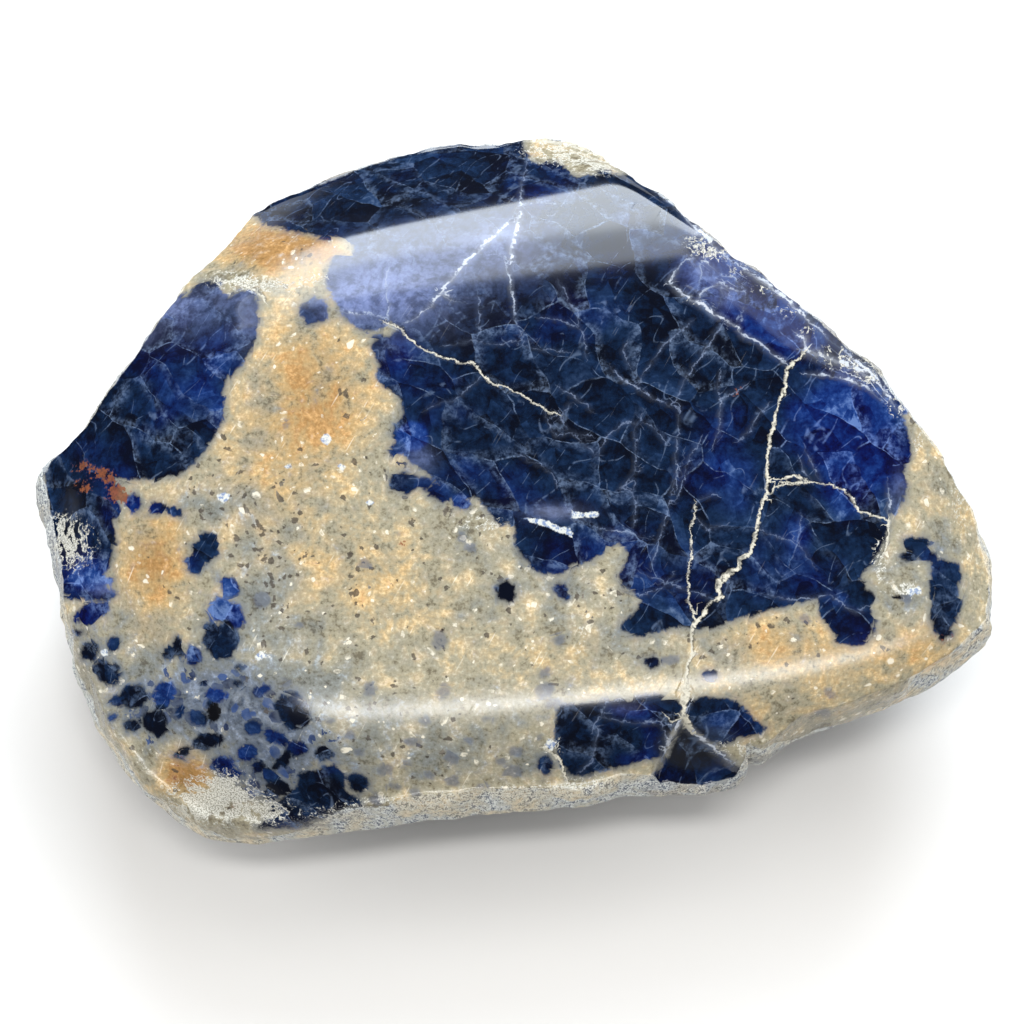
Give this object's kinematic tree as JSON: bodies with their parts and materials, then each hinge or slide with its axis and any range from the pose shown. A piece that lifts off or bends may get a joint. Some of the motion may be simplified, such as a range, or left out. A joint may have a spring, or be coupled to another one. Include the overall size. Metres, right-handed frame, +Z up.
{
  "type": "partly polished sodalite stone",
  "caption": "Palm-sized blue and tan sodalite with a polished top face, rough granular rim and broken underside; lies flat as a display or collection stone.",
  "frame": {"origin": "centre of the stone's plan box, at the level of the flat spot that it rests on", "axes": "+X along the longest extent, +Z up out of the polished face, which is the shortest extent"},
  "size_m": [0.0658, 0.052, 0.0168],
  "materials": {
    "sodalite": "polished royal blue sodalite with tan and grey-white granular matrix on the top face, unpolished granular rim and broken underside"
  },
  "bodies": {
    "root": {"sodalite": "sodalite"}
  },
  "joints": []
}
